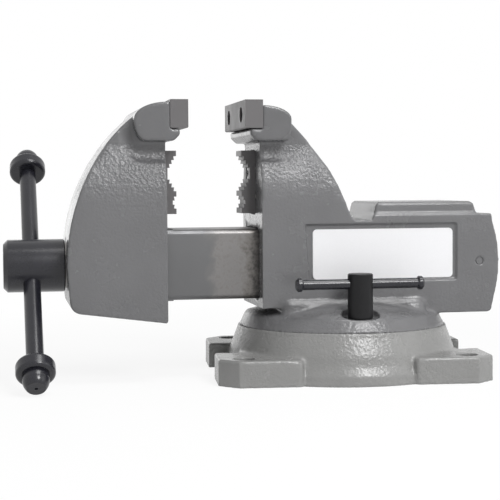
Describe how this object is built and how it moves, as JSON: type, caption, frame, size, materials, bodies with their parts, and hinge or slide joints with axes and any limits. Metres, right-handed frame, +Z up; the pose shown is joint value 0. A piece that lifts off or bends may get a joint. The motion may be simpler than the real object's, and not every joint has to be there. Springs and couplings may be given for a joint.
{
  "type": "bench and pipe vise",
  "caption": "Swivel-base bench vise with jaw inserts above stepped pipe jaws, a sliding beam and screw with cross handle, an anvil and bolting lugs.",
  "frame": {"origin": "on the swivel axis at the underside of the base", "axes": "+X along the slide from the handle end to the anvil end, +Z up, so that -Y is the side with the plate"},
  "size_m": [0.4259, 0.2093, 0.235],
  "materials": {
    "enamel_grey": "satin grey enamel over a sand casting",
    "jaw_steel": "hardened and ground steel",
    "bare_steel": "machined steel",
    "black_steel": "black oxide",
    "white_plate": "white coated plate"
  },
  "bodies": {
    "base": {"swivel_base": "enamel_grey"},
    "vise_body": {"static_jaw": "enamel_grey", "rear_jaw_insert": "jaw_steel", "rear_insert_screws": "black_steel", "rear_pipe_jaw": "jaw_steel", "rear_pipe_jaw_screw": "black_steel", "spindle_nut": "bare_steel", "nut_cross_pin": "bare_steel", "label_plate": "white_plate", "t_nuts": "bare_steel"},
    "moving_jaw": {"front_jaw": "enamel_grey", "front_jaw_insert": "jaw_steel", "front_insert_screws": "black_steel", "front_pipe_jaw": "jaw_steel", "front_pipe_jaw_screw": "black_steel"},
    "screw": {"main_screw": "black_steel", "thrust_washer": "bare_steel", "retaining_collar": "bare_steel", "collar_pin": "bare_steel"},
    "handle": {"handle_bar": "black_steel", "upper_knob": "black_steel", "lower_knob": "black_steel"},
    "near_lock": {"near_lock_bolt": "black_steel"},
    "far_lock": {"far_lock_bolt": "black_steel"},
    "near_lock_lever": {"near_lock_bar": "black_steel"},
    "far_lock_lever": {"far_lock_bar": "black_steel"}
  },
  "joints": [
    {"name": "swivel", "type": "hinge", "parent": "base", "child": "vise_body", "pos_m": [0, 0, 0.042], "axis": [0, 0, 1], "continuous": true},
    {"name": "jaw_slide", "type": "slide", "parent": "vise_body", "child": "moving_jaw", "axis": [-1, 0, 0], "range_m": [-0.0472, 0.0915]},
    {"name": "screw_turn", "type": "hinge", "parent": "moving_jaw", "child": "screw", "pos_m": [-0.2695, 0, 0.0973], "axis": [-1, 0, 0], "range_deg": [-2750, 5200]},
    {"name": "handle_slide", "type": "slide", "parent": "screw", "child": "handle", "axis": [0, 0.7254, 0.6884], "range_m": [-0.0895, 0.0835]},
    {"name": "near_lock_turn", "type": "hinge", "parent": "vise_body", "child": "near_lock", "pos_m": [-0.002, -0.072, 0.0816], "axis": [0, 0, 1], "range_deg": [-18, 18]},
    {"name": "far_lock_turn", "type": "hinge", "parent": "vise_body", "child": "far_lock", "pos_m": [-0.002, 0.072, 0.0816], "axis": [0, 0, 1], "range_deg": [-18, 18]},
    {"name": "near_lock_bar_slide", "type": "slide", "parent": "near_lock", "child": "near_lock_lever", "axis": [1, 0, 0], "range_m": [-0.008, 0.008]},
    {"name": "far_lock_bar_slide", "type": "slide", "parent": "far_lock", "child": "far_lock_lever", "axis": [1, 0, 0], "range_m": [-0.008, 0.008]}
  ],
  "couplings": [
    {"joint": "screw_turn", "follows": "jaw_slide", "rad_per_m": 989.48}
  ]
}
